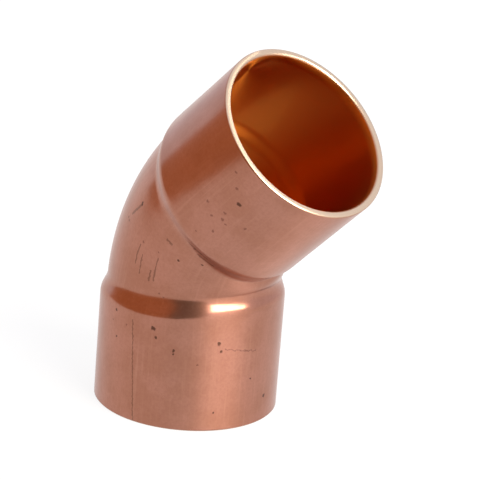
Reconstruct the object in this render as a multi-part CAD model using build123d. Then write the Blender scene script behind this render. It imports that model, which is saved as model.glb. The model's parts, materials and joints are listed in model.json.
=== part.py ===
from build123d import *
import os
from math import atan, cos, radians, sin

# Forty-five degree elbow for 22 mm copper tube, soldered at both ends.
# It is one length of copper tube, bent in a die, with its two ends swelled out to sockets.
# Millimetres. The origin is the middle of the lower mouth, and +Z runs up the lower socket.
# The bend lies in the XZ plane and turns towards +X.

# Driving dimensions
tube_od = 22.0              # the tube that slides into each socket
solder_gap = 0.05           # all round the tube, thin enough to draw the solder in
wall = 0.95                 # copper in the sockets and on the flanks of the bend
socket_length = 14.8        # parallel part of each socket, on its axis
body_od = 22.4              # the bend between the shoulders
bend_angle = 45.0           # degrees
bend_radius = 22.0          # of the centreline
shoulder_length = 2.5       # the coned step from socket to body, along the centreline
shoulder_lead = 0.9         # how much further on the outer step starts inside the bend than on the axis
mouth_chamfer = 0.25        # reamed inner edge, which guides the tube in
mouth_trim = 0.12           # outer edge, broken when the cut end is trimmed

# Drawing of the plain bend
bend_steps = 4              # it is drawn through one section more than this

# Sizes that follow
socket_bore = tube_od + 2 * solder_gap
socket_od = socket_bore + 2 * wall
body_bore = body_od - 2 * wall
full_turn = radians(bend_angle)
shoulder_turn = shoulder_length / bend_radius
step_lean = atan(2 * shoulder_lead / socket_od)
upper_axis = Vector(sin(full_turn), 0, cos(full_turn))


def middle_point(turned):
    """The point on the centreline where it has turned by this angle."""
    return Vector(bend_radius * (1 - cos(turned)), 0, socket_length + bend_radius * sin(turned))


def cut_plane(turned, lean):
    """The plane of the cut across the tube at this angle. It leans in both steps, and is square in the middle."""
    share = (turned - shoulder_turn) / (full_turn - 2 * shoulder_turn)
    share = min(max(share, 0), 1)
    tilt = (full_turn + 2 * lean) * share - lean
    return Plane(middle_point(turned), x_dir=(cos(tilt), 0, -sin(tilt)), z_dir=(sin(tilt), 0, cos(tilt)))


def cut_section(turned, diameter, lean):
    """The outline of that cut through a round tube: an ellipse, longer the more the cut slants."""
    plane = cut_plane(turned, lean)
    squareness = plane.z_dir.dot(Vector(sin(turned), 0, cos(turned)))
    return plane * Ellipse(diameter / 2 / squareness, diameter / 2)


def bend_form(socket_d, body_d, lean):
    """A filled bend: a coned step, the plain bend and the other step."""
    end_turn = full_turn - shoulder_turn
    lower_step = [cut_section(0, socket_d, lean), cut_section(shoulder_turn, body_d, lean)]
    upper_step = [cut_section(end_turn, body_d, lean), cut_section(full_turn, socket_d, lean)]
    turn_step = (end_turn - shoulder_turn) / bend_steps
    turns = [shoulder_turn + turn_step * step for step in range(bend_steps + 1)]
    plain_bend = [cut_section(turned, body_d, lean) for turned in turns]
    return loft(lower_step, ruled=True) + loft(plain_bend) + loft(upper_step, ruled=True)


def socket_form(diameter, lean):
    """A filled socket standing on its mouth. Its far end slants, and is longest inside the bend."""
    cylinder = extrude(Circle(diameter / 2), 2 * socket_length)
    return split(cylinder, bisect_by=cut_plane(0, lean), keep=Keep.BOTTOM)


def elbow_form(socket_d, body_d, lean):
    """All that lies inside a surface socket_d across in the sockets and body_d across in the bend."""
    upper_mouth = Plane(
        origin=middle_point(full_turn) + upper_axis * socket_length,
        x_dir=(cos(full_turn), 0, -sin(full_turn)),
        z_dir=-upper_axis,
    )
    socket = socket_form(socket_d, lean)
    return socket + bend_form(socket_d, body_d, lean) + upper_mouth * socket


def mouth_circles(elbow, outward):
    """The edges of the end face that lies furthest along an axis, from the smallest outwards."""
    mouth = elbow.faces().sort_by(outward)[-1]
    return mouth.edges().sort_by(SortBy.RADIUS)


def break_edges(elbow, outward):
    """Both edges of one mouth: reamed inside, and trimmed outside."""
    elbow = chamfer(mouth_circles(elbow, outward)[0], mouth_chamfer)
    return chamfer(mouth_circles(elbow, outward)[-1], mouth_trim)


def make_elbow():
    """The outside leans at its steps and the bore doesn't, so bending leaves more wall inside the bend."""
    elbow = elbow_form(socket_od, body_od, step_lean) - elbow_form(socket_bore, body_bore, 0)
    elbow = break_edges(elbow, -Axis.Z)
    return break_edges(elbow, Axis((0, 0, 0), upper_axis))


os.makedirs("parts", exist_ok=True)
elbow = make_elbow()
export_step(elbow, "parts/elbow.step")
print("volume mm3:", round(elbow.volume, 1), "solids:", len(elbow.solids()))
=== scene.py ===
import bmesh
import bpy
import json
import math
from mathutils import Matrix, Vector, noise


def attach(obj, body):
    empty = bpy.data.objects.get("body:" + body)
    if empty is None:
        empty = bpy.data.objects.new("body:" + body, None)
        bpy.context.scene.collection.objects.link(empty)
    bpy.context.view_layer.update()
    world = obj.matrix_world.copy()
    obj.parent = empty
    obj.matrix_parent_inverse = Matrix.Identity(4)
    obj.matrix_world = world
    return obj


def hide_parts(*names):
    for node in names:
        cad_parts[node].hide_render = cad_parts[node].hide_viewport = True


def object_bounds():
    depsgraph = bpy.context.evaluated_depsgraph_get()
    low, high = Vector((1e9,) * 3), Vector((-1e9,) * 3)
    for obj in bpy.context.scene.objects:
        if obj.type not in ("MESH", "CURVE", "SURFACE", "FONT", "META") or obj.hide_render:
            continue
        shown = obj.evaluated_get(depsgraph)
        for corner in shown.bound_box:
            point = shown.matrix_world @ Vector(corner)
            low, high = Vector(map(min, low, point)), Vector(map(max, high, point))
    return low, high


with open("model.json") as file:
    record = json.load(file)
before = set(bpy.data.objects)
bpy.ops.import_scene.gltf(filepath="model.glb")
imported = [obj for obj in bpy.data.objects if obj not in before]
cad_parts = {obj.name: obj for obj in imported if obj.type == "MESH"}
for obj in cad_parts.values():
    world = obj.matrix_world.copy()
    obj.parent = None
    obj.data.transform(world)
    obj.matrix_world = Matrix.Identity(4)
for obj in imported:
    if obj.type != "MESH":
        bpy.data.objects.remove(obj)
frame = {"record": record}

# %% [markdown]
# # A copper elbow for 22 mm tube
# This lesson dresses one plumbing fitting: a length of copper tube that was bent by forty-five
# degrees in a die, and then had both ends swelled out to sockets. The frame already holds the plain
# solid. We build a finer copy of it that can carry real marks, give it worn copper, and light it
# as a small object on a sheet of white paper.

cad_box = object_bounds()
print("CAD box, mm:", [[round(c * 1000, 2) for c in corner] for corner in cad_box])

# %% [markdown]
# ## Sizes
# The frame fixes the centreline: a straight run, an arc and another straight run of the same
# length. The straight run is the parallel bore with the trimmed edge of its mouth. With the bend's
# angle known, the place of the upper mouth then gives the radius of the bend.

# %% Sizes from the frame
MM = 0.001
mounts = {mount["name"]: mount for mount in frame["record"]["mounts"]}
full_turn = math.radians(45)
bore_radius = mounts["upper_socket"]["dims"]["r_mm"] * MM
inside_the_box = 0.004 * MM
socket_radius = cad_box[1].y - inside_the_box
mouth_x, _, mouth_z = mounts["upper_mouth"]["pos_m"]
inner_trim = 0.25 * MM
socket_length = mounts["upper_socket"]["dims"]["length_mm"] * MM + inner_trim
bend_radius = (mouth_x - socket_length * math.sin(full_turn)) / (1 - math.cos(full_turn))
tube_length = 2 * socket_length + bend_radius * full_turn
print("socket, bend radius, centreline, mm:",
      [round(v / MM, 2) for v in (socket_length, bend_radius, tube_length)])

# %% [markdown]
# The rest are sizes of the finish on the real fitting: how far the coned step from socket to bend
# runs, how it leans, how thick the copper is, and how the cut ends were trimmed.

# %% Sizes of the wall
body_radius = 11.2 * MM
body_bore_radius = 10.25 * MM
step_length = 1.7 * MM
step_lead = 0.9 * MM       # the outer step starts this much further on inside the bend
step_rounding = 0.55 * MM  # half the run over which the wall turns into the cone
step_start = socket_length + 0.4 * MM
outer_trim = 0.12 * MM
ROUND = 320                # points round the tube
step_turn = 2.5 * MM / bend_radius
step_lean = math.atan(step_lead / socket_radius)


# %% [markdown]
# ## The tube's own coordinates
# It is easiest to think of the elbow as a straight tube. `tube_place` says where a slice of that
# tube ends up after bending, and `straighten` does the reverse for a point on the finished elbow.
# Streaks, scratches and stains are all laid out on the straight tube, as they were made.

# %% Bending and straightening
bend_centre = Vector((bend_radius, 0, socket_length))
to_centre = Matrix.Translation(bend_centre)


def between(value, low, high):
    """The share of the way from low to high, held between 0 and 1."""
    return min(max((value - low) / (high - low), 0), 1)


def tube_place(along):
    """Where the slice at a distance along the straight tube lies on the elbow."""
    turned = full_turn * between(along, socket_length, tube_length - socket_length)
    straight_run = along - bend_radius * turned
    in_bend = to_centre @ Matrix.Rotation(turned, 4, "Y") @ to_centre.inverted()
    return in_bend @ Matrix.Translation((0, 0, straight_run))


def straighten(point):
    """The same point on the straight tube: x and y across it, z along it."""
    turned = math.atan2(point.z - socket_length, bend_radius - point.x)
    turned = min(max(turned, 0), full_turn)
    unbent = bend_centre + Matrix.Rotation(-turned, 3, "Y") @ (point - bend_centre)
    return unbent + Vector((0, 0, bend_radius * turned))


far_mouth = straighten(Vector((mouth_x, 0, mouth_z)))
print("upper mouth on the straight tube, mm:", round(far_mouth.z / MM, 3), "of", round(tube_length / MM, 3))


# %% [markdown]
# ## Rings across the tube
# The elbow is modelled the way a pipe is drawn: one ring of edges is pulled along and resized again
# and again. Two things set each ring. Its radius falls by the height of the step, along a cone with
# rounded ends. And it tips: in the steps the ring leans, and in the bend it turns over evenly, so
# that the two steps nearly meet inside the bend and lie far apart outside it.

# %% Radius and tip of a ring
def rounded_ramp(distance):
    """0 before the start of a slope and the distance after it, with a rounded change between."""
    if abs(distance) < step_rounding:
        return (distance + step_rounding) ** 2 / (4 * step_rounding)
    return max(distance, 0)


def ring_radius(along, socket, body):
    past_start = min(along, tube_length - along) - step_start
    down = rounded_ramp(past_start) - rounded_ramp(past_start - step_length)
    return socket - (socket - body) * down / step_length


def ring_tip(along, lean):
    """How far a ring is tipped from square to the tube."""
    from_mouth = min(along, tube_length - along)
    turned = max(from_mouth - socket_length, 0) / bend_radius
    tilt = (full_turn + 2 * lean) * between(turned, step_turn, full_turn - step_turn) - lean
    tip = (tilt - turned) * between(from_mouth, 2 * MM, socket_length - 1 * MM)
    return tip if along < tube_length / 2 else -tip


def ring_matrix(along, radius, lean):
    tip = ring_tip(along, lean)
    slanted = Matrix.Rotation(tip, 4, "Y") @ Matrix.Diagonal((radius / math.cos(tip), radius, 1, 1))
    return tube_place(along) @ slanted


# %% [markdown]
# ## The wall cut lengthwise
# The walk round the wall starts near the lower mouth. It runs up the outside, over the lip of the
# upper mouth, back down the bore and over the lower lip, where it meets its own start. Each point of
# the walk is a ring: a distance along the tube, a radius, the lean of its step and its skin, which
# is outside, lip or bore.

# %% The walk round the wall
def ring_places(steps_in_socket, steps_in_step, steps_in_bend):
    """Distances along the tube for the rings, close together where the radius changes."""
    first = step_start - step_rounding
    last = step_start + step_length + step_rounding
    stops = [2 * outer_trim, first, last, tube_length - last, tube_length - first,
             tube_length - 2 * outer_trim]
    counts = [steps_in_socket, steps_in_step, steps_in_bend, steps_in_step, steps_in_socket]
    places = [stops[0]]
    for start, end, count in zip(stops, stops[1:], counts):
        places += [start + (end - start) * (step + 1) / count for step in range(count)]
    return places


OUTSIDE, LIP, BORE = "outside", "lip", "bore"
outside = [(along, ring_radius(along, socket_radius, body_radius), step_lean, OUTSIDE)
           for along in ring_places(26, 22, 34)]
bore = [(along, ring_radius(along, bore_radius, body_bore_radius), 0, BORE)
        for along in ring_places(10, 16, 18)]
mouth_end = tube_length - inside_the_box
upper_lip = [
    (mouth_end - outer_trim, socket_radius, 0, OUTSIDE),
    (mouth_end, socket_radius - outer_trim, 0, LIP),
    (mouth_end, (socket_radius + bore_radius) / 2, 0, LIP),
    (mouth_end, bore_radius + inner_trim, 0, LIP),
    (tube_length - inner_trim, bore_radius, 0, BORE),
]
lower_lip = [(tube_length - along, radius, lean, skin) for along, radius, lean, skin in reversed(upper_lip)]
walk = outside + upper_lip + bore[-2:0:-1] + lower_lip
print("rings:", len(walk))

# %% [markdown]
# `create_circle` gives the first ring. For each next ring, `extrude_edge_only` copies the last one
# and `transform` carries the copy to its new place and size. `bridge_loops` closes the last gap.

# %% The elbow's mesh
def draw_wall():
    bm = bmesh.new()
    place = ring_matrix(*walk[0][:3])
    circle = bmesh.ops.create_circle(bm, segments=ROUND, radius=1, matrix=place)
    first_ring = list({edge for vert in circle["verts"] for edge in vert.link_edges})
    ring = first_ring
    for along, radius, lean, _ in walk[1:]:
        pulled = bmesh.ops.extrude_edge_only(bm, edges=ring)["geom"]
        verts = [part for part in pulled if isinstance(part, bmesh.types.BMVert)]
        next_place = ring_matrix(along, radius, lean)
        bmesh.ops.transform(bm, matrix=next_place @ place.inverted(), verts=verts)
        moved = set(verts)
        ring = [part for part in pulled if isinstance(part, bmesh.types.BMEdge) and moved.issuperset(part.verts)]
        place = next_place
    bmesh.ops.bridge_loops(bm, edges=first_ring + ring)
    bmesh.ops.recalc_face_normals(bm, faces=bm.faces)
    return bm


elbow_bm = draw_wall()
print("faces:", len(elbow_bm.faces))

# %% [markdown]
# ## What the die left
# A die never presses evenly. On this fitting the steps sit further on inside the bend and a little
# back on its flanks, and the skin has shallow waves, most of all near the steps. Both are real
# shape, so the points themselves move: along the tube first, then straight inwards by a hair.

# %% Uneven steps and shallow waves
shift_inside, shift_flank = 0.45 * MM, -0.35 * MM
shift_reach = 3.2 * MM
wave_depth = 0.022 * MM


def step_shift(angle):
    """How far the steps lie from their drawn place, round the tube; angle 0 is inside the bend."""
    off_inside = abs(math.degrees(angle))
    inside = 1 - between(off_inside, 0, 50) ** 2 * (3 - 2 * between(off_inside, 0, 50))
    flank = max(0, math.cos(math.radians((off_inside - 60) * 2.2))) if abs(off_inside - 60) < 40 else 0
    return shift_inside * inside + shift_flank * flank


def press(place):
    """A point of the straight tube after the die."""
    from_mouth = min(place.z, tube_length - place.z)
    nearness = 1 - between(abs(from_mouth - step_start - step_length / 2), 0, shift_reach)
    shift = step_shift(math.atan2(place.y, place.x)) * nearness * nearness * (3 - 2 * nearness)
    along = place.z + (shift if place.z < tube_length / 2 else -shift)
    waves = noise.noise(place * (0.35 / MM)) * 0.6 + noise.noise(place * (0.9 / MM)) * 0.4 * (0.3 + nearness)
    shrink = 1 - wave_depth * (0.5 + 0.5 * waves) / socket_radius
    return tube_place(along) @ Vector((place.x * shrink, place.y * shrink, 0))


elbow_bm.verts.ensure_lookup_table()
for vert in elbow_bm.verts:
    if walk[vert.index // ROUND][3] == OUTSIDE:
        vert.co = press(straighten(vert.co))

# %% [markdown]
# Each point keeps its place on the straight tube in an attribute, for the copper's pattern, and two
# more attributes say where the lip and the bore are.

# %% From bmesh to object
elbow_mesh = bpy.data.meshes.new("elbow_copper")
elbow_bm.to_mesh(elbow_mesh)
elbow_bm.free()
elbow_mesh.shade_smooth()
for name, kind in (("straight", "FLOAT_VECTOR"), ("on_lip", "FLOAT"), ("in_bore", "FLOAT")):
    elbow_mesh.attributes.new(name, kind, "POINT")
straight, on_lip, in_bore = (elbow_mesh.attributes[name].data for name in ("straight", "on_lip", "in_bore"))
for vert in elbow_mesh.vertices:
    skin = walk[vert.index // ROUND][3]
    straight[vert.index].vector = straighten(vert.co) / MM
    on_lip[vert.index].value = float(skin == LIP)
    in_bore[vert.index].value = float(skin == BORE)
elbow = bpy.data.objects.new("elbow_copper", elbow_mesh)
bpy.context.scene.collection.objects.link(elbow)
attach(elbow, "root")
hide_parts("elbow")


# %% [markdown]
# ## Shader sums
# The copper's pattern is a page of arithmetic on a few measurements of the surface. Written as
# Python sums it stays readable, so a small class wraps a socket and turns each sum into its node.

# %% A socket that can be added and multiplied
class Wire:
    """A socket that takes part in Python sums: each sum adds its own Math node."""

    def __init__(self, tree, socket):
        self.tree = tree
        self.socket = socket

    def node(self, kind, settings=None, inputs=None, output=0):
        """Any node: its settings are made first, then its sockets get values or links."""
        made = self.tree.nodes.new(kind)
        for name, value in (settings or {}).items():
            setattr(made, name, value)
        for name, value in (inputs or {}).items():
            if isinstance(value, Wire):
                self.tree.links.new(value.socket, made.inputs[name])
            else:
                made.inputs[name].default_value = value
        return Wire(self.tree, made.outputs[output])

    def math(self, operation, first, second=0.0):
        return self.node("ShaderNodeMath", {"operation": operation}, {0: first, 1: second})

    def __add__(self, other):
        return self.math("ADD", self, other)

    def __sub__(self, other):
        return self.math("SUBTRACT", self, other)

    def __rsub__(self, other):
        return self.math("SUBTRACT", other, self)

    def __mul__(self, other):
        return self.math("MULTIPLY", self, other)

    __radd__ = __add__
    __rmul__ = __mul__

    def rise(self, low, high):
        """0 below low, 1 above high and a smooth step between."""
        inputs = {"Value": self, "From Min": low, "From Max": high}
        return self.node("ShaderNodeMapRange", {"interpolation_type": "SMOOTHSTEP"}, inputs)

    def inside(self, low, high, edge):
        """1 between low and high, with soft edges."""
        return self.rise(low - edge, low + edge) * (1 - self.rise(high - edge, high + edge))

    def larger(self, other):
        return self.math("MAXIMUM", self, other)

    def parts(self):
        """The x, y and z of a vector."""
        split = self.node("ShaderNodeSeparateXYZ", inputs={0: self}).socket.node
        return [Wire(self.tree, socket) for socket in split.outputs]

    def vector(self, operation, other, output=0):
        """A Vector Math node on this vector and another."""
        return self.node("ShaderNodeVectorMath", {"operation": operation}, {0: self, 1: other}, output)

    def noise(self, scale, detail=2.0, rough=0.5):
        """A noise value at this place, about 0.5 on average."""
        inputs = {"Vector": self, "Scale": scale, "Detail": detail, "Roughness": rough}
        return self.node("ShaderNodeTexNoise", inputs=inputs)

    def blend(self, start, end):
        """From one colour to another as this value goes from 0 to 1."""
        settings = {"data_type": "RGBA"}
        return self.node("ShaderNodeMix", settings, {0: self, 6: start, 7: end}, 2)


# %% [markdown]
# ## Measuring the surface
# Three measurements carry every mark: the place on the straight tube in millimetres, the distance
# round it, and the same two laid flat, as if the tube had been slit and unrolled.

# %% Places on the copper
copper = bpy.data.materials.new("copper")
copper.use_nodes = True
tree = copper.node_tree
attribute = tree.nodes.new("ShaderNodeAttribute")
attribute.attribute_name = "straight"
place = Wire(tree, attribute.outputs["Vector"])
across_x, across_y, along = place.parts()
around = across_y.math("ARCTAN2", across_y, across_x) * (socket_radius / MM)
flat = place.node("ShaderNodeCombineXYZ", inputs={0: around, 1: along})
lip = place.node("ShaderNodeAttribute", {"attribute_name": "on_lip"}, output=2)
bore = place.node("ShaderNodeAttribute", {"attribute_name": "in_bore"}, output=2)

# %% [markdown]
# ## Stains and spots
# Flux, water and fingers leave small dark spots. Each is a short entry: how far round the tube from
# the inside of the bend, how far along, and how wide, in millimetres. A little noise in the
# measured place keeps the spots from being round.

# %% Spots on the unrolled skin
jitter = place.node("ShaderNodeTexNoise", inputs={"Vector": place, "Scale": 2.2, "Detail": 3.0}, output=1)
jitter = jitter.vector("SUBTRACT", (0.5, 0.5, 0.5)).vector("MULTIPLY", (0.5, 0.7, 0.0))
uneven_flat = flat.vector("ADD", jitter)


def spots(entries, softness=0.5):
    """One mask for many spots: 1 in their middles, 0 outside them."""
    found = None
    for round_mm, along_mm, width in entries:
        away = uneven_flat.vector("DISTANCE", (round_mm, along_mm, 0.0), output=1)
        spot = 1 - away.rise(width * (1 - softness) / 2, width / 2)
        found = spot if found is None else found.larger(spot)
    return found


dark_spots = spots([
    (-14.64, 13.33, 0.75), (-14.28, 12.19, 0.5), (-11.78, 10.75, 0.5), (-11.8, 10.35, 0.45),
    (-5.97, 12.0, 0.6), (-5.62, 10.9, 0.55), (-8.62, 9.09, 0.3), (-0.88, 6.57, 0.4),
    (2.12, 3.4, 0.65), (-6.06, 2.59, 0.4), (-20.92, 14.08, 0.5), (-20.55, 10.51, 0.45),
    (-13.65, 41.41, 0.75), (-10.79, 27.32, 0.5), (-23.3, 27.08, 0.6), (-13.84, 25.65, 0.42),
])
faint_spots = spots([
    (-15.37, 42.87, 0.6), (-16.89, 44.37, 0.4), (-16.42, 37.83, 0.55), (-14.03, 38.72, 0.6),
    (-13.62, 37.66, 0.6), (-12.89, 37.42, 0.45), (-14.86, 36.79, 0.4), (-10.85, 38.94, 0.5),
    (-14.63, 33.15, 0.35), (-13.2, 35.16, 0.4), (-13.03, 29.79, 0.55), (-11.88, 29.83, 0.5),
    (-19.65, 24.1, 0.45), (-16.76, 24.6, 0.4), (-14.71, 18.54, 0.4), (-14.07, 18.16, 0.4),
    (-21.59, 12.47, 0.35), (-18.82, 12.64, 0.4), (-24.82, 24.09, 0.5), (-24.15, 24.05, 0.4),
])


# %% [markdown]
# ## Scratches and rubs
# A scratch is a thin straight line on the unrolled skin. The shader measures the distance from each
# place to the line's nearest point, which is one dot product and one clamp.

# %% Scratches
def scratches(entries):
    """One mask for many scratches, each from one place (round, along) to another, with its width."""
    found = None
    for start, end, width in entries:
        start, end = Vector((*start, 0)), Vector((*end, 0))
        run = end - start
        share = uneven_flat.vector("SUBTRACT", start).vector("DOT_PRODUCT", run / run.length_squared, output=1)
        share = share.node("ShaderNodeClamp", inputs={0: share})
        nearest = place.node("ShaderNodeVectorMath", {"operation": "SCALE"}, {0: run, "Scale": share})
        away = uneven_flat.vector("SUBTRACT", start).vector("DISTANCE", nearest, output=1)
        line = 1 - away.rise(width * 0.25, width / 2)
        found = line if found is None else found.larger(line)
    return found


dark_scratches = scratches([
    ((-19.95, 23.4), (-19.71, 20.8), 0.3), ((-16.46, 23.7), (-16.07, 20.1), 0.3),
    ((-16.84, 21.2), (-16.75, 19.7), 0.35), ((-23.3, 26.9), (-24.1, 25.0), 0.5),
    ((-16.63, 27.33), (-15.78, 27.19), 0.45), ((-18.9, 22.6), (-18.5, 19.9), 0.25),
    ((-5.1, 11.19), (-0.4, 10.3), 0.18), ((-17.8, 13.6), (-16.8, 0.2), 0.22),
    ((-14.0, 30.1), (-11.0, 29.8), 0.35), ((-12.2, 29.0), (-9.5, 28.6), 0.3),
])

# %% [markdown]
# ## The copper's colour
# Handled copper isn't one colour. It drifts between a pinkish and a browner tone in patches a few
# millimetres wide, with a fine grain on top and drawing lines along the tube. The bore is a deeper,
# more saturated red than the outside. The lip is bare metal from the saw.

# %% Colour and roughness
patches = place.noise(0.22, 4.0, 0.6)
grain = place.noise(2.6, 3.0, 0.65)
lines = place.vector("MULTIPLY", (1.0, 1.0, 0.04)).noise(1.9, 3.0, 0.7)
skin = patches.rise(0.35, 0.65).blend((0.46, 0.215, 0.155, 1), (0.41, 0.185, 0.125, 1))
skin = (grain.rise(0.3, 0.75) * 0.35).blend(skin, (0.34, 0.135, 0.09, 1))
skin = (lines.rise(0.5, 0.8) * 0.3).blend(skin, (0.56, 0.29, 0.21, 1))
skin = (dark_scratches * 0.55).blend(skin, (0.13, 0.06, 0.035, 1))
skin = (faint_spots * 0.6).blend(skin, (0.16, 0.06, 0.04, 1))
skin = (dark_spots * 0.85).blend(skin, (0.08, 0.035, 0.022, 1))
colour = bore.blend(skin, (0.6, 0.17, 0.022, 1))
colour = lip.blend(colour, (0.74, 0.56, 0.4, 1))

# %% [markdown]
# ## The copper's gloss
# Worn copper shines in two ways at once. The smooth tops of its grain mirror the room nearly
# sharply, and the roughened rest spreads the light wide. So two metal shaders are mixed: a tight
# one and a loose one. Both see the same fine bumps.

# %% Two metals mixed
height = grain * 0.5 + lines * 0.35 + patches * 0.8 - dark_spots * 0.5 - dark_scratches * 0.4
bump = place.node("ShaderNodeBump", inputs={"Height": height, "Strength": 0.25, "Distance": 0.00003})


def metal(roughness, brushed):
    return place.node("ShaderNodeBsdfPrincipled", inputs={
        "Base Color": colour, "Metallic": 1.0, "Roughness": roughness, "Normal": bump,
        "Anisotropic": brushed, "Anisotropic Rotation": 0.25})


tight = metal(0.17, 0.0)
loose = metal(0.48, 0.8)
both = place.node("ShaderNodeMixShader", inputs={0: bore * 0.5 + 0.38, 1: tight, 2: loose})
tree.links.new(both.socket, tree.nodes["Material Output"].inputs["Surface"])
tree.nodes.remove(tree.nodes["Principled BSDF"])
elbow_mesh.materials.append(copper)
print("copper nodes:", len(tree.nodes))

# %% [markdown]
# ## The paper
# The elbow stands on a sheet of white paper that ends a little way in front of it. To the camera
# and in reflections the sheet is nearly pure white. The rest of it is plain matt paper that keeps a
# soft shadow.

# %% Paper floor
paper_front = 0.085
paper_white = 0.86
floor_mesh = bpy.data.meshes.new("paper")
bm = bmesh.new()
bmesh.ops.create_grid(bm, x_segments=1, y_segments=1, size=1)
for vert in bm.verts:
    vert.co.y = vert.co.y if vert.co.y > 0 else -paper_front
bm.to_mesh(floor_mesh)
bm.free()
floor = bpy.data.objects.new("paper", floor_mesh)
bpy.context.scene.collection.objects.link(floor)
paper = bpy.data.materials.new("paper")
paper.use_nodes = True
sheet = Wire(paper.node_tree, paper.node_tree.nodes["Principled BSDF"].outputs[0])
sheet.socket.node.inputs["Base Color"].default_value = (0.97, 0.97, 0.97, 1)
sheet.socket.node.inputs["Roughness"].default_value = 0.9
rays = paper.node_tree.nodes.new("ShaderNodeLightPath")
camera_ray, glossy_ray, through_ray = (
    Wire(paper.node_tree, rays.outputs[name]) for name in ("Is Camera Ray", "Is Glossy Ray", "Is Transmission Ray"))
glow = sheet.node("ShaderNodeEmission", inputs={"Color": (1, 1, 1, 1), "Strength": 1.0})
seen = camera_ray.larger(glossy_ray).larger(through_ray)
mixed = sheet.node("ShaderNodeMixShader", inputs={0: seen * paper_white, 1: sheet, 2: glow})
paper.node_tree.links.new(mixed.socket, paper.node_tree.nodes["Material Output"].inputs["Surface"])
floor_mesh.materials.append(paper)

# %% [markdown]
# ## The room
# A metal object shows the room. This one stands in a pale room, with a warm wooden side behind the
# camera that darkens to the right, and a bright window further right. The world is painted by
# direction: the compass bearing and the height of each ray.

# %% Room and window
world = bpy.data.worlds.new("studio")
world.use_nodes = True
bpy.context.scene.world = world
room_tree = world.node_tree
coordinates = room_tree.nodes.new("ShaderNodeTexCoord")
ray = Wire(room_tree, coordinates.outputs["Generated"])
ray_x, ray_y, ray_z = ray.parts()
bearing = ray_x.math("ARCTAN2", ray_x, 0 - ray_y) * (180 / math.pi)
height_up = ray_z.math("ARCSINE", ray_z) * (180 / math.pi)
wood_side = bearing.rise(-82, -78) * (1 - bearing.rise(55, 62)) * (1 - height_up.rise(30, 50))
window = bearing.inside(64, 112, 3) * height_up.inside(15, 42, 2)
wood = bearing.rise(5, 25).blend((0.62, 0.25, 0.06, 1), (0.13, 0.095, 0.055, 1))
room = wood_side.blend((0.94, 0.95, 1.05, 1), wood)
room = window.blend(room, (16.0, 15.0, 13.0, 1))
room_rays = room_tree.nodes.new("ShaderNodeLightPath")
room = Wire(room_tree, room_rays.outputs["Is Camera Ray"]).blend(room, (1, 1, 1, 1))
room_tree.links.new(room.socket, room_tree.nodes["Background"].inputs["Color"])

# %% [markdown]
# ## The camera
# The photograph looks down a little on the inside of the bend, from the right, with a slight roll.

# %% Camera
camera_bearing, camera_height, camera_roll = (math.radians(angle) for angle in (41.68, 19.27, 4.58))
camera_distance = 0.3624
camera_aim = Vector((0.00646, 0.00116, 0.02337))
back = Vector((math.sin(camera_bearing) * math.cos(camera_height),
               -math.cos(camera_bearing) * math.cos(camera_height),
               math.sin(camera_height)))
camera = bpy.data.objects.new("camera", bpy.data.cameras.new("camera"))
bpy.context.scene.collection.objects.link(camera)
camera.data.lens = 212.6
camera.rotation_mode = "QUATERNION"
camera.location = camera_aim + back * camera_distance
level = (-back).to_track_quat("-Z", "Y").to_matrix()
camera.rotation_quaternion = (Matrix.Rotation(camera_roll, 3, back) @ level).to_quaternion()
bpy.context.scene.camera = camera
bpy.context.scene.view_settings.view_transform = "Standard"
